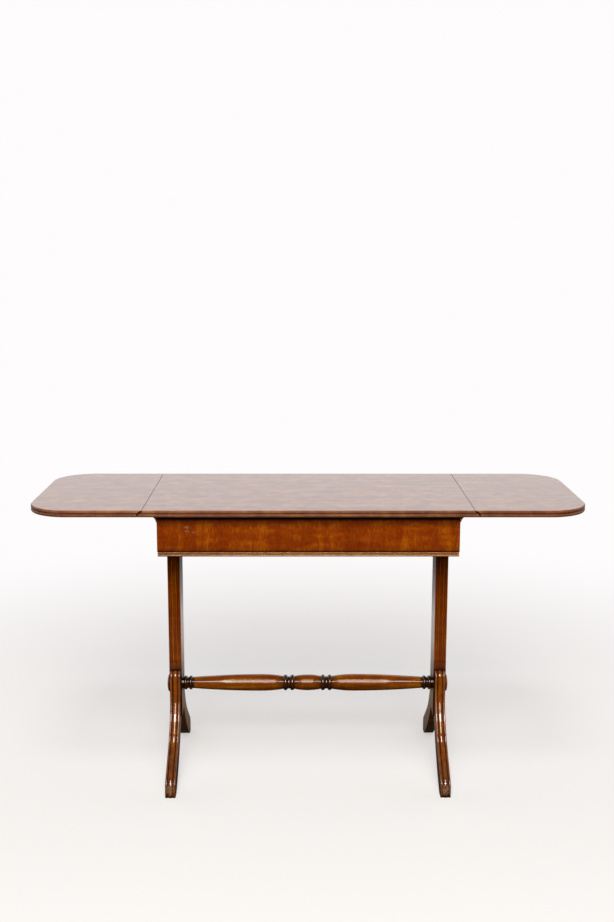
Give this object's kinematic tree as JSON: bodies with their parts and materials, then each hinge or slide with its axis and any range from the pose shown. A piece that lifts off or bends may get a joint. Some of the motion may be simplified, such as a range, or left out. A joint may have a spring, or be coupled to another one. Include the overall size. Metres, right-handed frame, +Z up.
{
  "type": "drop-leaf sofa table",
  "caption": "Drop-leaf sofa table with reeded top, plain frieze, fluted uprights on reeded sabre legs and a turned stretcher; the end leaves drop on rule joints and rest on lopers",
  "frame": {"origin": "on the floor under the middle of the top", "axes": "+X along the table to the right, +Y to the back, +Z up"},
  "size_m": [1.32, 0.45, 0.72],
  "materials": {
    "top_mahogany": "polished veneer",
    "frieze_mahogany": "polished veneer",
    "solid_mahogany": "polished solid wood",
    "secondary_wood": "plain beech",
    "brass": "aged brass",
    "steel": "dull steel"
  },
  "bodies": {
    "table_frame": {"back_bead_moulding": "solid_mahogany", "back_frieze": "frieze_mahogany", "corner_blocks": "secondary_wood", "fixed_top": "top_mahogany", "front_bead_moulding": "solid_mahogany", "front_frieze": "frieze_mahogany", "left_back_leg": "solid_mahogany", "left_back_leg_dowels": "secondary_wood", "left_bead_moulding": "solid_mahogany", "left_boss": "solid_mahogany", "left_cove_moulding": "solid_mahogany", "left_end_rail": "frieze_mahogany", "left_front_leg": "solid_mahogany", "left_front_leg_dowels": "secondary_wood", "left_hinge_pins": "steel", "left_hinge_top_flaps": "brass", "left_hinge_top_screws": "steel", "left_keeper_screws": "steel", "left_loper_keepers": "secondary_wood", "left_upright": "solid_mahogany", "middle_bearer": "secondary_wood", "right_back_leg": "solid_mahogany", "right_back_leg_dowels": "secondary_wood", "right_bead_moulding": "solid_mahogany", "right_boss": "solid_mahogany", "right_cove_moulding": "solid_mahogany", "right_end_rail": "frieze_mahogany", "right_front_leg": "solid_mahogany", "right_front_leg_dowels": "secondary_wood", "right_hinge_pins": "steel", "right_hinge_top_flaps": "brass", "right_hinge_top_screws": "steel", "right_keeper_screws": "steel", "right_loper_keepers": "secondary_wood", "right_upright": "solid_mahogany", "stretcher": "solid_mahogany", "top_fixing_blocks": "secondary_wood", "top_fixing_screws": "steel"},
    "left_leaf_body": {"left_leaf": "top_mahogany", "left_hinge_leaf_flaps": "brass", "left_hinge_leaf_screws": "steel"},
    "right_leaf_body": {"right_leaf": "top_mahogany", "right_hinge_leaf_flaps": "brass", "right_hinge_leaf_screws": "steel"},
    "left_front_loper_body": {"left_front_loper": "secondary_wood", "left_front_loper_peg": "secondary_wood"},
    "left_back_loper_body": {"left_back_loper": "secondary_wood", "left_back_loper_peg": "secondary_wood"},
    "right_front_loper_body": {"right_front_loper": "secondary_wood", "right_front_loper_peg": "secondary_wood"},
    "right_back_loper_body": {"right_back_loper": "secondary_wood", "right_back_loper_peg": "secondary_wood"}
  },
  "joints": [
    {"name": "left_leaf_hinge", "type": "hinge", "parent": "table_frame", "child": "left_leaf_body", "pos_m": [-0.385, 0, 0.706], "axis": [0, 1, 0], "range_deg": [-90, 0]},
    {"name": "right_leaf_hinge", "type": "hinge", "parent": "table_frame", "child": "right_leaf_body", "pos_m": [0.385, 0, 0.706], "axis": [0, -1, 0], "range_deg": [-90, 0]},
    {"name": "left_front_loper_slide", "type": "slide", "parent": "table_frame", "child": "left_front_loper_body", "axis": [-1, 0, 0], "range_m": [0, 0.2088]},
    {"name": "left_back_loper_slide", "type": "slide", "parent": "table_frame", "child": "left_back_loper_body", "axis": [-1, 0, 0], "range_m": [0, 0.2088]},
    {"name": "right_front_loper_slide", "type": "slide", "parent": "table_frame", "child": "right_front_loper_body", "axis": [1, 0, 0], "range_m": [0, 0.2088]},
    {"name": "right_back_loper_slide", "type": "slide", "parent": "table_frame", "child": "right_back_loper_body", "axis": [1, 0, 0], "range_m": [0, 0.2088]}
  ]
}
